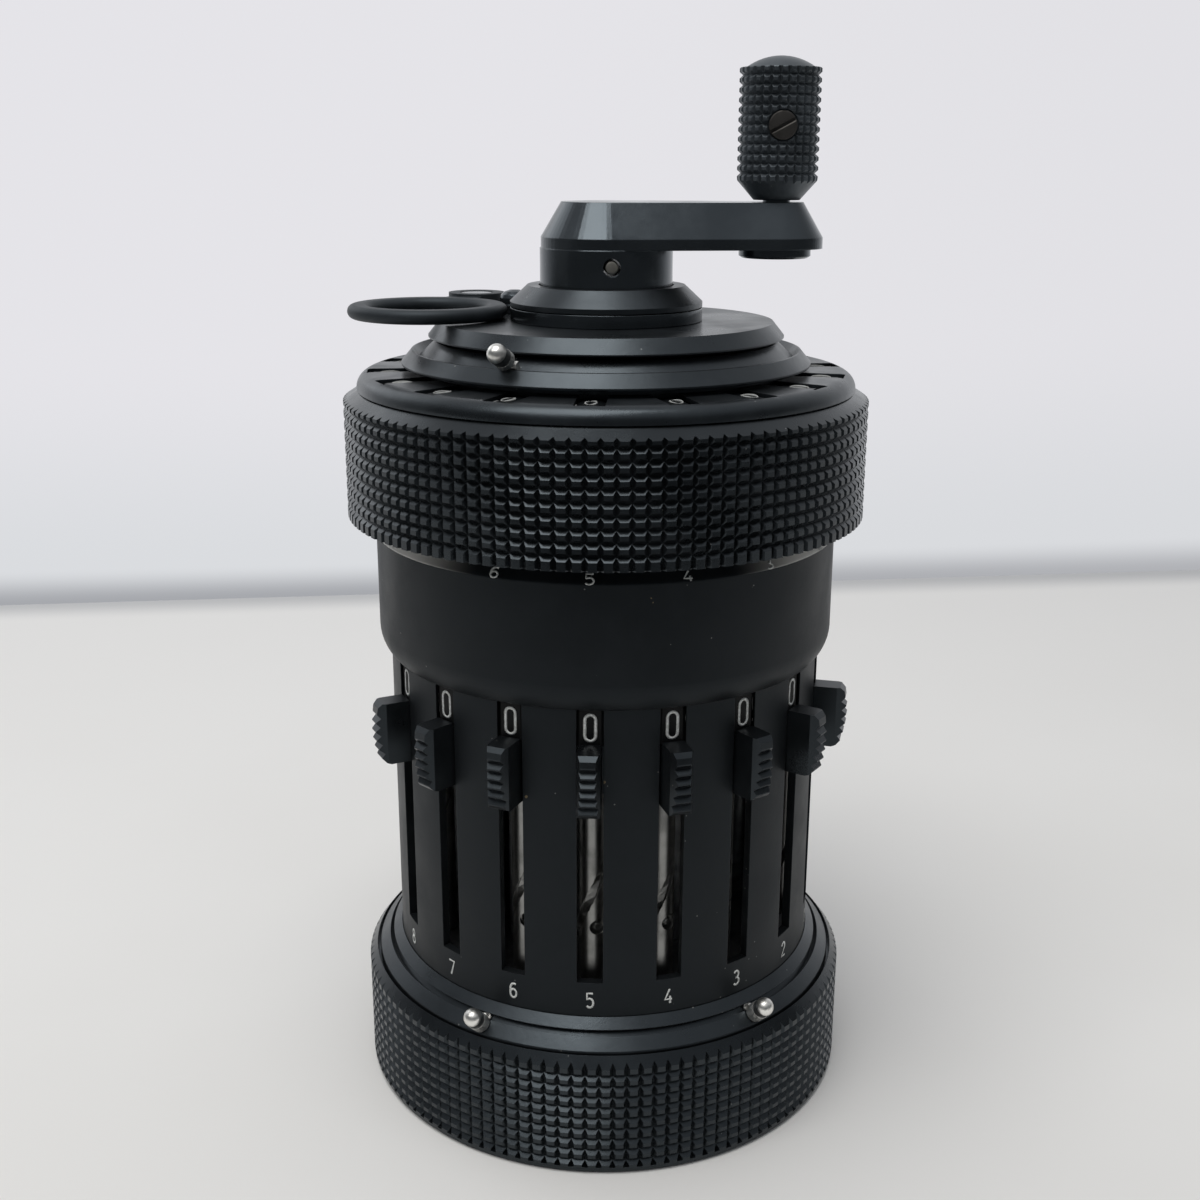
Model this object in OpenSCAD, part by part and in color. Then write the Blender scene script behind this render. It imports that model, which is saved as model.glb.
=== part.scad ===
// Hand-held cylindrical stepped-drum calculator, standing on its knurled base ring.
// Millimetres, +Z up. The origin is the centre of the base plate's underside.
// Azimuths run counter-clockwise seen from above and start at -Y, where slots 4 and 5 meet.

/* [Setting register] */
// full downward travel of a setting slider, nine digits
setting_travel = 18; // [17:0.5:18]
// width of the eight setting slots
slot_w = 2.6; // [2.4:0.05:2.8]
// width of a slider's knob
knob_w = 2.2; // [1.8:0.05:2.2]
// distance from a digit drum's axis to each of its ten flats
digit_drum_flat = 3.13; // [3:0.01:3.14]

/* [Knurled rings] */
// outer radius over the knurl of the base ring
base_tip_r = 26.6; // [26.2:0.05:26.8]
// outer radius over the knurl of the carriage ring
carriage_tip_r = 26.8; // [26.4:0.05:27]
// number of knurl columns around each ring
knurl_columns = 120; // [90:2:120]
// depth of the knurl's grooves
knurl_depth = 0.42; // [0.3:0.02:0.44]
// number of horizontal knurl grooves on each ring
knurl_rows = 9; // [7:1:9]

/* [Crank] */
// distance of the handle's axis from the main shaft
crank_reach = 16.9; // [15:0.1:18]
// azimuth the crank arm points to at rest
crank_azimuth = 83.4; // [60:0.1:120]
// radius of the handle's grip over its knurl
grip_r = 4.0; // [3.7:0.05:4.3]
// height of the grip's domed top above the floor
grip_top = 107.5; // [106:0.5:109]
// number of knurl columns around the grip
grip_columns = 28; // [20:1:28]

/* [Clearing lever] */
// middle radius of the finger ring
finger_ring_r = 7.0; // [6.6:0.05:7]
// width of the finger ring's bar
finger_ring_w = 2.2; // [1.9:0.05:2.2]

/* [Decimal markers] */
// azimuth of the left marker on the lower track
left_marker_azimuth = -36.5; // [-60:0.1:-20]
// azimuth of the right marker on the lower track
right_marker_azimuth = 32; // [0:0.1:60]
// azimuth of the marker on the carriage
upper_marker_azimuth = -34.3; // [-60:0.1:0]
// shank radius of every marker
marker_r = 0.95; // [0.85:0.05:0.95]

/* [Hidden] */

// colours
satin_black = [0.055, 0.06, 0.07];
dark_black = [0.03, 0.032, 0.036];
steel = [0.62, 0.62, 0.63];
silver = [0.78, 0.78, 0.76];
brass = [0.74, 0.6, 0.34];

// clearance between two pieces that are fitted together, and between a shaft and its bearing
fit_gap = 0.05;

// body tube and the pieces inside it
tube_r = 22.85;
tube_bore_r = 21.95;
tube_top = 59.45;
shaft_circle_r = 19.45;
gear_circle_r = 13.2;
shaft_r = 1.5;
sleeve_r = 2.9;
journal_r = 1.0;
plate_r = tube_bore_r - fit_gap;
lower_plate_z = 16;
upper_plate_z = 50.6;
upper_plate_top = 52.2;
slot_top = 50;
knob_bottom = 38.3;
knob_top = 44.9;
slot_bottom = knob_bottom - setting_travel - 0.85;
groove_turn = 324 / setting_travel;
groove_front_z = 28.0;
peg_z = 42.0;
peg_azimuth = groove_turn * (peg_z - groove_front_z);
detent_z = 24.55;
detent_azimuth = 27;
digit_drum_z = 44.65;
digit_drum_top = 49.6;
pillar_circle_r = 17.5;

// base ring and marker track
base_h = 13.05;
base_recess_r = 24.2;
base_lip_r = 25.72;
base_lip_z = 13.16;
base_bore_r = tube_r + fit_gap;
plate_t = 1.3;
base_row_pitch = (11.112 - 1.4) / (knurl_rows - 1);
track_top = 15.72;
track_edge_r = 25.42;
track_groove_r = 24.08;
track_groove_z = 14.59;
marker_drop = 0.9;

// collar
collar_r = 24.0;
collar_bottom = 48.4;
collar_edge_z = 60.95;
collar_top_r = 22.8;
collar_top = 62.6;
spigot_r = 22.6;
spigot_bore_r = 21.6;
spigot_top = 67.0;
lever_z = 57;

// crank column
main_shaft_r = 3.0;
guide_r = 5.5;
guide_top = 79.0;
hub_r = 6.7;
hub_bottom = 82.6;
arm_z = 89.35;
arm_edge_z = 90.4;
arm_top = 93.8;
arm_hub_r = 6.6;
arm_end_r = 4.75;
arm_slope = 2.05;
pin_z = 87.77;
spindle_r = 1.35;
grip_bottom = 94.0;
grip_edge_z = 95.85;
grip_knurl_top = grip_top - 1.1;
grip_rows = 11;

// carriage
dial_z = 74.13;
roller_r = 3.0;
frame_floor_z = 67.3;
frame_r = 24.75;
frame_wall_r = 23.95;
frame_hub_r = 16.5;
frame_hub_wall = 1.1;
carriage_bottom = 62.85;
carriage_top = 75.6;
carriage_bevel_z = 74.57;
carriage_row_pitch = 9.74 / (knurl_rows - 1);
window_z = 76.9;
window_top = 77.3;
groove_ring_top = 80.3;
boss_r = 7.6;
boss_bore_r = 6.85;

// clearing lever
clearing_top = 82.2;
clearing_bar_top = 83.1;
ring_pivot_r = 17.2;
ring_pivot_azimuth = -132.1;
ring_centre_r = 18.15;
ring_centre_azimuth = -96.6;
ring_bottom = 82.35;
ring_top = 83.75;

function slot_azimuth(k) = (4.5 - k) * 20;
function result_azimuth(i) = 70 - 20 * (i - 1);
function counter_azimuth(i) = 70 + 20 * i;

// a point on the plan circle of radius r at azimuth a
function at_polar(r, a) = [r * sin(a), -r * cos(a)];

// profile points of one horizontal V groove across a knurled wall at radius r
function row_groove(r, z, depth, open_w) = [
  [r, z - open_w / 2],
  [r - depth, z],
  [r, z + open_w / 2]
];

// plan outline of a small gear, four points to a tooth
function gear_outline(tip_r, root_r, teeth) = [
  for (i = [0:teeth - 1])
    for (p = [[root_r, -0.3], [tip_r, -0.14], [tip_r, 0.14], [root_r, 0.3]])
      [p[0] * cos((i + p[1]) * 360 / teeth), p[0] * sin((i + p[1]) * 360 / teeth)]
];

// turns what is drawn on the -Y side to azimuth a
module at_azimuth(a) {
  rotate([0, 0, a]) children();
}

// a flat ring between two radii and two heights
module ring(inner_r, outer_r, z0, z1) {
  rotate_extrude($fn = 180)
    translate([inner_r, z0])
      square([outer_r - inner_r, z1 - z0]);
}

// a ring block on the -Y side that spans half_angle each way
module arc_block(inner_r, outer_r, z0, z1, half_angle) {
  rotate([0, 0, -90 - half_angle])
    rotate_extrude(angle = 2 * half_angle, $fn = 180)
      translate([inner_r, z0])
        square([outer_r - inner_r, z1 - z0]);
}

// a round rod on the -Y side along the radius, at height z
module radial_rod(r0, r1, z, rod_r) {
  translate([0, -r0, z])
    rotate([90, 0, 0])
      cylinder(h = r1 - r0, r = rod_r, $fn = 48);
}

// a profile of radius and height made a plate that stands on the -Y side
module side_plate(width) {
  rotate([90, 0, -90])
    translate([0, 0, -width / 2])
      linear_extrude(width)
        children();
}

// the upright V grooves that cut a knurled wall into columns
module column_grooves(tip_r, depth, open_w, count, z0, z1) {
  for (k = [0:count - 1])
    rotate([0, 0, (k + 0.5) * 360 / count])
      translate([0, 0, z0])
        linear_extrude(z1 - z0)
          polygon([
            [tip_r - depth, 0],
            [tip_r + 0.3, -open_w / 2 * (depth + 0.3) / depth],
            [tip_r + 0.3, open_w / 2 * (depth + 0.3) / depth]
          ]);
}

module base_plate() {
  color(dark_black)
    difference() {
      ring(0, base_recess_r - fit_gap, 0, plate_t);
      for (a = [0, 120, 240])
        at_azimuth(a)
          translate([0, -19, 0]) {
            translate([0, 0, -1])
              cylinder(h = plate_t + 2, r = 0.9, $fn = 48);
            translate([0, 0, -0.01])
              cylinder(h = 0.8, r1 = 1.7, r2 = 0.9, $fn = 48);
          }
    }
}

module base_ring() {
  color(satin_black)
    difference() {
      rotate_extrude($fn = 240)
        polygon(concat(
          [
            [base_recess_r, 0],
            [base_tip_r - 0.4, 0],
            [base_tip_r - 0.2, 0.2],
            [base_tip_r - 0.2, 0.45],
            [base_tip_r - 0.35, 0.5],
            [base_tip_r, 0.62]
          ],
          [for (i = [0:knurl_rows - 1])
            each row_groove(base_tip_r, 1.4 + i * base_row_pitch, knurl_depth, 0.8)],
          [
            [base_tip_r, 12.07],
            [base_lip_r + 0.05, base_lip_z],
            [base_lip_r, base_lip_z - 0.05],
            [base_lip_r, base_h - 0.9],
            [base_bore_r, base_h - 0.9],
            [base_bore_r, plate_t + fit_gap],
            [base_recess_r, plate_t + fit_gap]
          ]
        ));
      column_grooves(base_tip_r, knurl_depth, 0.62, knurl_columns, 0.75, base_h + 0.3);
    }
}

module marker_track() {
  cone_sum = track_groove_r + track_groove_z;
  color(satin_black)
    rotate_extrude($fn = 240)
      difference() {
        polygon([
          [base_bore_r, base_h - 0.85],
          [track_edge_r, base_h - 0.85],
          [track_edge_r, cone_sum - track_edge_r - 0.12],
          [track_edge_r - 0.06, cone_sum - track_edge_r + 0.06],
          [cone_sum - track_top, track_top],
          [base_bore_r, track_top]
        ]);
        translate([track_groove_r, track_groove_z])
          rotate(-45) {
            translate([-0.31, -0.8])
              square([0.62, 1.3]);
            translate([-0.45, -0.8])
              square([0.9, 0.35]);
          }
      }
}

module body_tube() {
  color(satin_black)
    difference() {
      ring(tube_bore_r, tube_r, plate_t + fit_gap, tube_top);
      for (k = [1:8])
        at_azimuth(slot_azimuth(k))
          union() {
            translate([-slot_w / 2, -24, slot_bottom])
              cube([slot_w, 4, slot_top - slot_bottom]);
            translate([0, -shaft_circle_r, digit_drum_z - 0.2])
              cylinder(h = digit_drum_top - digit_drum_z + 0.45, r = 3.36, $fn = 120);
          }
      at_azimuth(180)
        translate([-1.5, -24, upper_plate_top])
          cube([3, 4, 6.1]);
    }
}

module collar() {
  round_r = 3.744;
  color(satin_black)
    difference() {
      rotate_extrude($fn = 240)
        union() {
          polygon([
            [base_bore_r, 51],
            [collar_r, 51],
            [collar_r, collar_edge_z],
            [collar_top_r, collar_top],
            [spigot_r, collar_top],
            [spigot_r, spigot_top],
            [spigot_bore_r, spigot_top],
            [spigot_bore_r, 61.5],
            [guide_r + 0.1, 61.5],
            [guide_r + 0.1, 60],
            [spigot_bore_r, 60],
            [spigot_bore_r, tube_top + fit_gap],
            [base_bore_r, tube_top + fit_gap]
          ]);
          intersection() {
            translate([collar_r - round_r, 51])
              circle(r = round_r, $fn = 180);
            translate([base_bore_r, collar_bottom])
              square([2, 51 - collar_bottom + 0.01]);
          }
        }
      for (k = [1:8])
        at_azimuth(slot_azimuth(k))
          translate([0, -gear_circle_r, 59])
            cylinder(h = 4, r = journal_r + fit_gap, $fn = 48);
      at_azimuth(180)
        translate([-1.5, -25, upper_plate_top])
          cube([3, 4, 6.1]);
    }
}

module lower_bearing() {
  color(steel) {
    difference() {
      ring(4.5 + fit_gap, plate_r, lower_plate_z, lower_plate_z + 2);
      for (k = [1:8])
        at_azimuth(slot_azimuth(k))
          for (r = [shaft_circle_r, gear_circle_r])
            translate([0, -r, lower_plate_z - 1])
              cylinder(h = 4, r = journal_r + fit_gap, $fn = 48);
    }
    for (a = [110, 180, -110])
      at_azimuth(a)
        translate([0, -pillar_circle_r, lower_plate_z + 1])
          cylinder(h = upper_plate_z - lower_plate_z - 1 - fit_gap, r = 1.5, $fn = 48);
  }
}

module upper_bearing() {
  color(steel)
    difference() {
      rotate_extrude($fn = 180)
        polygon([
          [main_shaft_r + 0.3, upper_plate_z],
          [plate_r, upper_plate_z],
          [plate_r, upper_plate_top],
          [guide_r, upper_plate_top],
          [guide_r, guide_top],
          [main_shaft_r + fit_gap, guide_top],
          [main_shaft_r + fit_gap, guide_top - 3],
          [main_shaft_r + 0.3, guide_top - 3]
        ]);
      for (k = [1:8])
        at_azimuth(slot_azimuth(k))
          for (r = [shaft_circle_r, gear_circle_r])
            translate([0, -r, upper_plate_z - 1])
              cylinder(h = 4, r = journal_r + fit_gap, $fn = 48);
    }
}

module transmission_shafts() {
  color(steel)
    for (k = [1:8])
      at_azimuth(slot_azimuth(k))
        translate([0, -gear_circle_r, 0]) {
          translate([0, 0, 14.5])
            cylinder(h = 56.7, r = journal_r, $fn = 48);
          translate([0, 0, 69.2])
            linear_extrude(2)
              polygon(gear_outline(2.1, 1.6, 10));
        }
}

// a setting slider: toothed knob, sleeve round its shaft, peg and fork, with its sliding gear
module slider(k) {
  color(satin_black)
    at_azimuth(slot_azimuth(k)) {
      slider_knob();
      difference() {
        union() {
          intersection() {
            translate([0, -shaft_circle_r, 39.5])
              cylinder(h = 5, r = sleeve_r, $fn = 120);
            translate([0, 0, 39])
              cylinder(h = 6, r = tube_bore_r - 0.1, $fn = 180);
          }
          translate([-2, -17.2, 41.2])
            cube([4, 4.6, 0.8]);
        }
        translate([0, -shaft_circle_r, 39])
          cylinder(h = 6, r = shaft_r + fit_gap, $fn = 96);
        translate([-1.3, -14.7, 40])
          cube([2.6, 3, 3]);
      }
      translate([0, -shaft_circle_r, 0])
        at_azimuth(peg_azimuth)
          radial_rod(1.1, 2.4, peg_z, 0.32);
    }
  color(steel)
    at_azimuth(slot_azimuth(k))
      translate([0, -gear_circle_r, 0])
        difference() {
          union() {
            translate([0, 0, 40.2])
              linear_extrude(0.9)
                polygon(gear_outline(1.9, 1.5, 10));
            translate([0, 0, 40.5])
              cylinder(h = 2, r = 1.2, $fn = 48);
            translate([0, 0, 42.1])
              cylinder(h = 0.9, r = 1.9, $fn = 48);
          }
          translate([0, 0, 40])
            cylinder(h = 4, r = journal_r + fit_gap, $fn = 48);
        }
}

// the toothed plate that stands out of the slot, with the neck that joins it to the sleeve
module slider_knob() {
  pitch = 0.96;
  intersection() {
    side_plate(knob_w)
      polygon(concat(
        [[21.6, knob_bottom], [24.9, knob_bottom], [25.4, knob_bottom + 0.2]],
        [for (i = [0:5])
          each concat(
            i > 0 ? [[tooth_r(i - 0.5) - 0.45, knob_bottom + 0.7 + (i - 0.5) * pitch]] : [],
            [for (s = [-1, 1]) [tooth_r(i), knob_bottom + 0.7 + (i + 0.06 * s) * pitch]]
          )
        ],
        [
          [26.05, knob_top - 0.45], [25.6, knob_top],
          [22.8, knob_top], [22.8, digit_drum_z - 0.2], [21.6, digit_drum_z - 0.2]
        ]
      ));
    translate([0, 0, knob_bottom - 1])
      linear_extrude(knob_top - knob_bottom + 2)
        polygon([
          [-knob_w / 2, -21], [-knob_w / 2, -25.25], [-knob_w / 2 + 0.5, -26.4],
          [knob_w / 2 - 0.5, -26.4], [knob_w / 2, -25.25], [knob_w / 2, -21]
        ]);
  }
}

// reach of the knob's tooth i, counted from the bottom
function tooth_r(i) = 26.3 - 0.0488 * pow(i - 3.2, 2);

// the helix a slider's peg rides in, as a swept cutter around the shaft's own axis
module helix_cutter() {
  steps = 25;
  z0 = peg_z - setting_travel - 1;
  z1 = peg_z + 1;
  section = [[-0.45, -1], [-0.45, -2.2], [0.45, -2.2], [0.45, -1]];
  points = [
    for (j = [0:steps])
      let (z = z0 + (z1 - z0) * j / steps, a = groove_turn * (z - groove_front_z))
        for (p = section)
          [p[0] * cos(a) - p[1] * sin(a), p[0] * sin(a) + p[1] * cos(a), z]
  ];
  sides = [
    for (j = [0:steps - 1])
      for (s = [0:3])
        for (t = [0, 1])
          t == 0
            ? [4 * j + s, 4 * j + 4 + s, 4 * j + (s + 1) % 4]
            : [4 * j + (s + 1) % 4, 4 * j + 4 + s, 4 * j + 4 + (s + 1) % 4]
  ];
  last = 4 * steps;
  polyhedron(
    points = points,
    faces = concat([[0, 1, 2], [0, 2, 3]], sides, [[last, last + 2, last + 1], [last, last + 3, last + 2]])
  );
}

// a setting shaft: journals, helical groove, detent pin and the ten-sided digit drum
module setting_shaft(k) {
  color(steel)
    at_azimuth(slot_azimuth(k))
      translate([0, -shaft_circle_r, 0]) {
        translate([0, 0, lower_plate_z])
          cylinder(h = 3, r = journal_r, $fn = 48);
        difference() {
          translate([0, 0, lower_plate_z + 2.1])
            cylinder(h = digit_drum_z - lower_plate_z - 2.1, r = shaft_r, $fn = 96);
          helix_cutter();
          at_azimuth(detent_azimuth)
            radial_rod(0.85, 1.9, detent_z, 0.8);
        }
        at_azimuth(detent_azimuth)
          translate([0, -0.8, detent_z])
            rotate([90, 0, 0])
              cylinder(h = 0.5, r1 = 0.62, r2 = 0.3, $fn = 48);
      }
  color(dark_black)
    at_azimuth(slot_azimuth(k))
      translate([0, -shaft_circle_r, 0]) {
        translate([0, 0, digit_drum_z])
          cylinder(h = digit_drum_top - digit_drum_z, r = digit_drum_flat / cos(18), $fn = 10);
        translate([0, 0, digit_drum_top - 0.5])
          cylinder(h = upper_plate_top - digit_drum_top + 0.3, r = journal_r, $fn = 48);
      }
}

module lift_bush() {
  color(brass)
    rotate_extrude($fn = 120)
      polygon([
        [main_shaft_r + fit_gap, 11.5], [6, 11.5], [6, 12.5],
        [4.5, 12.5], [4.5, 19.5], [main_shaft_r + fit_gap, 19.5]
      ]);
}

module main_shaft() {
  color(steel)
    difference() {
      rotate_extrude($fn = 120)
        polygon([
          [0, 3], [2.6, 3], [main_shaft_r, 3.4], [main_shaft_r, 10.2], [4.6, 10.2], [4.6, 11.4],
          [main_shaft_r, 11.4], [main_shaft_r, 88.4], [2.6, 88.8], [0, 88.8]
        ]);
      at_azimuth(-1.9)
        radial_rod(-5, 5, pin_z, 0.85);
    }
}

module step_drum() {
  color(steel)
    difference() {
      union() {
        ring(0, 10.2, 19.6, 44);
        for (i = [1:9])
          at_azimuth(10 * (i - 5))
            arc_block(9.8, 11.2, 20, 41.6 - 2 * i, 2.2);
      }
      translate([0, 0, 19])
        cylinder(h = 26, r = main_shaft_r + 0.02, $fn = 120);
    }
}

// the bevelled arm from the hub to the handle
module arm_body() {
  hull()
    for (c = [[0, arm_hub_r], [crank_reach, arm_end_r]])
      translate([0, -c[0], 0]) {
        translate([0, 0, arm_z])
          cylinder(h = arm_edge_z - arm_z, r = c[1], $fn = 72);
        translate([0, 0, arm_edge_z])
          cylinder(h = arm_top - arm_edge_z, r1 = c[1], r2 = c[1] - arm_slope, $fn = 72);
      }
}

module crank_arm() {
  color(satin_black)
    difference() {
      union() {
        at_azimuth(crank_azimuth)
          arm_body();
        translate([0, 0, hub_bottom])
          cylinder(h = arm_z - hub_bottom, r = hub_r, $fn = 180);
        translate([0, 0, arm_z - 1])
          cylinder(h = 2, r = hub_r - 0.7, $fn = 180);
        at_azimuth(crank_azimuth)
          translate([0, -crank_reach, 88.4]) {
            cylinder(h = 0.2, r1 = 3.3, r2 = 3.6, $fn = 120);
            translate([0, 0, 0.2])
              cylinder(h = 0.9, r = 3.6, $fn = 120);
          }
      }
      translate([0, 0, hub_bottom - 1])
        cylinder(h = 7.4, r = main_shaft_r + 0.02, $fn = 120);
      at_azimuth(-1.9)
        radial_rod(-8, 8, pin_z, 0.85);
      at_azimuth(crank_azimuth)
        translate([0, -crank_reach, 88])
          cylinder(h = 7, r = spindle_r + 0.03, $fn = 96);
    }
}

module handle_spindle() {
  color(steel)
    at_azimuth(crank_azimuth)
      translate([0, -crank_reach, 88.6])
        cylinder(h = 12.4, r = spindle_r, $fn = 96);
}

module handle_grip() {
  row_pitch = (grip_knurl_top - grip_edge_z - 0.5) / grip_rows;
  color(satin_black)
    at_azimuth(crank_azimuth)
      translate([0, -crank_reach, 0])
        difference() {
          union() {
            difference() {
              rotate_extrude($fn = 120)
                polygon(concat(
                  [[0, grip_bottom], [2.3, grip_bottom], [grip_r - 0.05, grip_edge_z]],
                  [for (i = [0:grip_rows - 1])
                    each row_groove(grip_r, grip_edge_z + 0.7 + i * row_pitch, 0.34, 0.62)],
                  [[grip_r, grip_knurl_top - 0.1], [grip_r - 0.1, grip_knurl_top], [0, grip_knurl_top]]
                ));
              column_grooves(grip_r, 0.3, 0.5, grip_columns, grip_edge_z - 1, grip_knurl_top + 1);
            }
            grip_dome();
          }
          translate([0, 0, grip_bottom - 1])
            cylinder(h = 8.2, r = spindle_r + fit_gap, $fn = 96);
          rotate([0, 0, -crank_azimuth - 7])
            radial_rod(3.3, 6, 101, 1.5);
        }
}

// shallow dome that closes the grip
module grip_dome() {
  base_r = grip_r - 0.45;
  rise = grip_top - grip_knurl_top + 0.1;
  sphere_r = (base_r * base_r + rise * rise) / (2 * rise);
  translate([0, 0, grip_knurl_top - 0.1])
    rotate_extrude($fn = 120)
      intersection() {
        translate([0, rise - sphere_r])
          circle(r = sphere_r, $fn = 360);
        square([base_r, rise + 1]);
      }
}

module carriage_sleeve() {
  color(brass)
    ring(guide_r + fit_gap, 6.6, 70, 79);
}

module carriage_frame() {
  color(dark_black)
    difference() {
      rotate_extrude($fn = 180)
        polygon([
          [frame_hub_r, frame_floor_z], [frame_r, frame_floor_z], [frame_r, carriage_top - 0.05],
          [frame_wall_r, carriage_top - 0.05], [frame_wall_r, frame_floor_z + 0.7],
          [frame_hub_r + frame_hub_wall, frame_floor_z + 0.7], [frame_hub_r + frame_hub_wall, window_top],
          [frame_hub_r, window_top]
        ]);
      for (i = [-10:6])
        at_azimuth(counter_azimuth(i))
          radial_rod(15, 26, dial_z, 0.55);
    }
}

module carriage_ring() {
  color(satin_black)
    difference() {
      rotate_extrude($fn = 240)
        polygon(concat(
          [[22.9, carriage_bottom], [carriage_tip_r, carriage_bottom]],
          [for (i = [0:knurl_rows - 1])
            each row_groove(carriage_tip_r, 64.13 + i * carriage_row_pitch, knurl_depth, 0.8)],
          [
            [carriage_tip_r, carriage_bevel_z],
            [carriage_tip_r - 1.6, carriage_top],
            [frame_r + fit_gap, carriage_top],
            [frame_r + fit_gap, 64],
            [22.9, 64]
          ]
        ));
      column_grooves(carriage_tip_r, knurl_depth, 0.62, knurl_columns, carriage_bottom - 1, carriage_top + 1);
    }
}

module window_plate() {
  color(satin_black)
    difference() {
      rotate_extrude($fn = 240)
        difference() {
          union() {
            translate([17.7, window_z])
              square([6.2, window_top - window_z]);
            translate([23.9, window_top - 1.5])
              circle(r = 1.5, $fn = 120);
          }
          translate([17, window_z - 3])
            square([frame_r + 0.1 - 17, 3]);
          translate([17, window_z - 3])
            square([12, carriage_top + 0.05 - window_z + 3]);
        }
      for (i = [-10:6])
        at_azimuth(counter_azimuth(i))
          translate([-1.4, -24.3, window_z - 2])
            cube([2.8, 5.7, 4]);
    }
}

module marker_groove_ring() {
  color(satin_black)
    rotate_extrude($fn = 240)
      polygon([
        [boss_bore_r, groove_ring_top], [boss_bore_r, guide_top + 0.05], [6.65, guide_top + 0.05],
        [6.65, 72], [8.5, 72], [8.5, window_top + 0.05], [18.9, window_top + 0.05],
        [18.9, 77.95], [20.75, 77.95], [20.83, 78.05], [20.83, 78.2], [19.8, 79.42],
        [19.62, 79.45], [19, 78.72], [17.35, 80.28], [17.3, groove_ring_top]
      ]);
}

module crank_boss() {
  color(satin_black)
    rotate_extrude($fn = 180)
      polygon([
        [boss_bore_r, groove_ring_top + fit_gap], [boss_r, groove_ring_top + fit_gap], [boss_r, 83.6],
        [9.75, 83.6], [9.75, 84.1], [8, 85.7], [boss_bore_r, 85.7]
      ]);
}

// a marker pin lying along +Z from z0: shank, duller band and round end
module marker_pin(z0, band_z, dome_z) {
  band_r = marker_r - 0.04;
  rotate_extrude($fn = 96)
    union() {
      polygon([
        [0, z0], [marker_r - 0.08, z0], [marker_r, z0 + 0.08], [marker_r, band_z - 0.04],
        [band_r, band_z], [band_r, dome_z + 0.1], [0, dome_z + 0.1]
      ]);
      intersection() {
        translate([0, dome_z])
          circle(r = marker_r, $fn = 180);
        translate([0, dome_z])
          square(2);
      }
    }
}

// a marker whose foot runs in the track's groove and whose pin stands a little below it
module lower_marker(azimuth) {
  color(silver)
    at_azimuth(azimuth)
      translate([0, -track_groove_r, track_groove_z])
        rotate([45, 0, 0]) {
          rotate_extrude($fn = 48)
            polygon([[0, -0.75], [0.4, -0.75], [0.4, -0.5], [0.2, -0.5], [0.2, 0.12], [0, 0.12]]);
          translate([0, -marker_drop, 0])
            marker_pin(0.06, 1.39, 2.09);
        }
}

// the marker on the carriage, with its runner in the groove of the ring
module upper_marker() {
  color(silver)
    at_azimuth(upper_marker_azimuth) {
      translate([0, -19.2, 79.98])
        rotate([61.7, 0, 0]) {
          translate([0, 0, -0.45])
            cylinder(h = 1, r = 0.5, $fn = 48);
          marker_pin(0.4, 1.2, 2.15);
        }
      rotate([0, 0, -93])
        rotate_extrude(angle = 6, $fn = 180)
          polygon([[19, 78.98], [19.5, 79.55], [19.6, 79.95], [19.1, 80.2], [18.62, 79.4]]);
    }
}

// a number roller lying along the radius, with its stub, shaft and star gear
module dial(azimuth) {
  color(dark_black)
    at_azimuth(azimuth) {
      radial_rod(20.1, 23.65, dial_z, roller_r);
      radial_rod(23.4, 24.5, dial_z, 0.5);
      radial_rod(14.8, 20.4, dial_z, 0.5);
      translate([0, -14.6, dial_z])
        rotate([90, 0, 0])
          linear_extrude(1.6)
            polygon(gear_outline(2.2, 1.4, 10));
    }
}

module clearing_disc() {
  color(satin_black)
    rotate_extrude($fn = 240)
      polygon([
        [boss_r + fit_gap, groove_ring_top + fit_gap], [17.1, groove_ring_top + fit_gap],
        [18.05, 80.72], [18.05, 80.85], [16.95, clearing_top], [boss_r + fit_gap, clearing_top]
      ]);
}

module clearing_lever() {
  bar_z = clearing_top + fit_gap;
  color(satin_black)
    at_azimuth(ring_pivot_azimuth) {
      ring(boss_r + fit_gap, 9.75, bar_z, 83.5);
      difference() {
        translate([0, 0, bar_z])
          linear_extrude(clearing_bar_top - bar_z)
            union() {
              translate([-2.2, -ring_pivot_r])
                square([4.4, ring_pivot_r - 8.6]);
              translate([0, -ring_pivot_r])
                circle(r = 2.6, $fn = 120);
            }
        translate([0, 0, 80])
          cylinder(h = 5, r = 8.6, $fn = 180);
      }
    }
  color(steel)
    at_azimuth(ring_pivot_azimuth) {
      translate([0, -11.9, clearing_bar_top - 0.1])
        rotate_extrude($fn = 96)
          polygon([[0, 0], [1.6, 0], [1.6, 0.75], [1.45, 1.1], [1.05, 1.4], [0.5, 1.57], [0, 1.6]]);
      translate([0, -ring_pivot_r, 0])
        rotate_extrude($fn = 96)
          polygon([[0, 82.7], [1, 82.7], [1, 83.65], [1.7, 83.65], [1.7, 83.9], [1.6, 84], [0, 84]]);
    }
}

module finger_ring() {
  centre = at_polar(ring_centre_r, ring_centre_azimuth);
  pivot = at_polar(ring_pivot_r, ring_pivot_azimuth);
  span = norm(centre - pivot);
  lean = atan2(centre[1] - pivot[1], centre[0] - pivot[0]);
  color(satin_black)
    difference() {
      union() {
        translate([centre[0], centre[1], 0])
          rotate_extrude($fn = 180)
            ring_section();
        translate([pivot[0], pivot[1], ring_top - 0.6])
          rotate([0, 0, lean])
            translate([0, -1.8, 0])
              cube([span - finger_ring_r, 3.6, 0.6]);
        translate([pivot[0], pivot[1], ring_top - 0.6])
          cylinder(h = 0.9, r = 3, $fn = 120);
      }
      translate([pivot[0], pivot[1], 80])
        cylinder(h = 5, r = 1.05, $fn = 96);
      translate([pivot[0], pivot[1], 83.6])
        cylinder(h = 2, r = 1.8, $fn = 96);
    }
}

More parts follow.
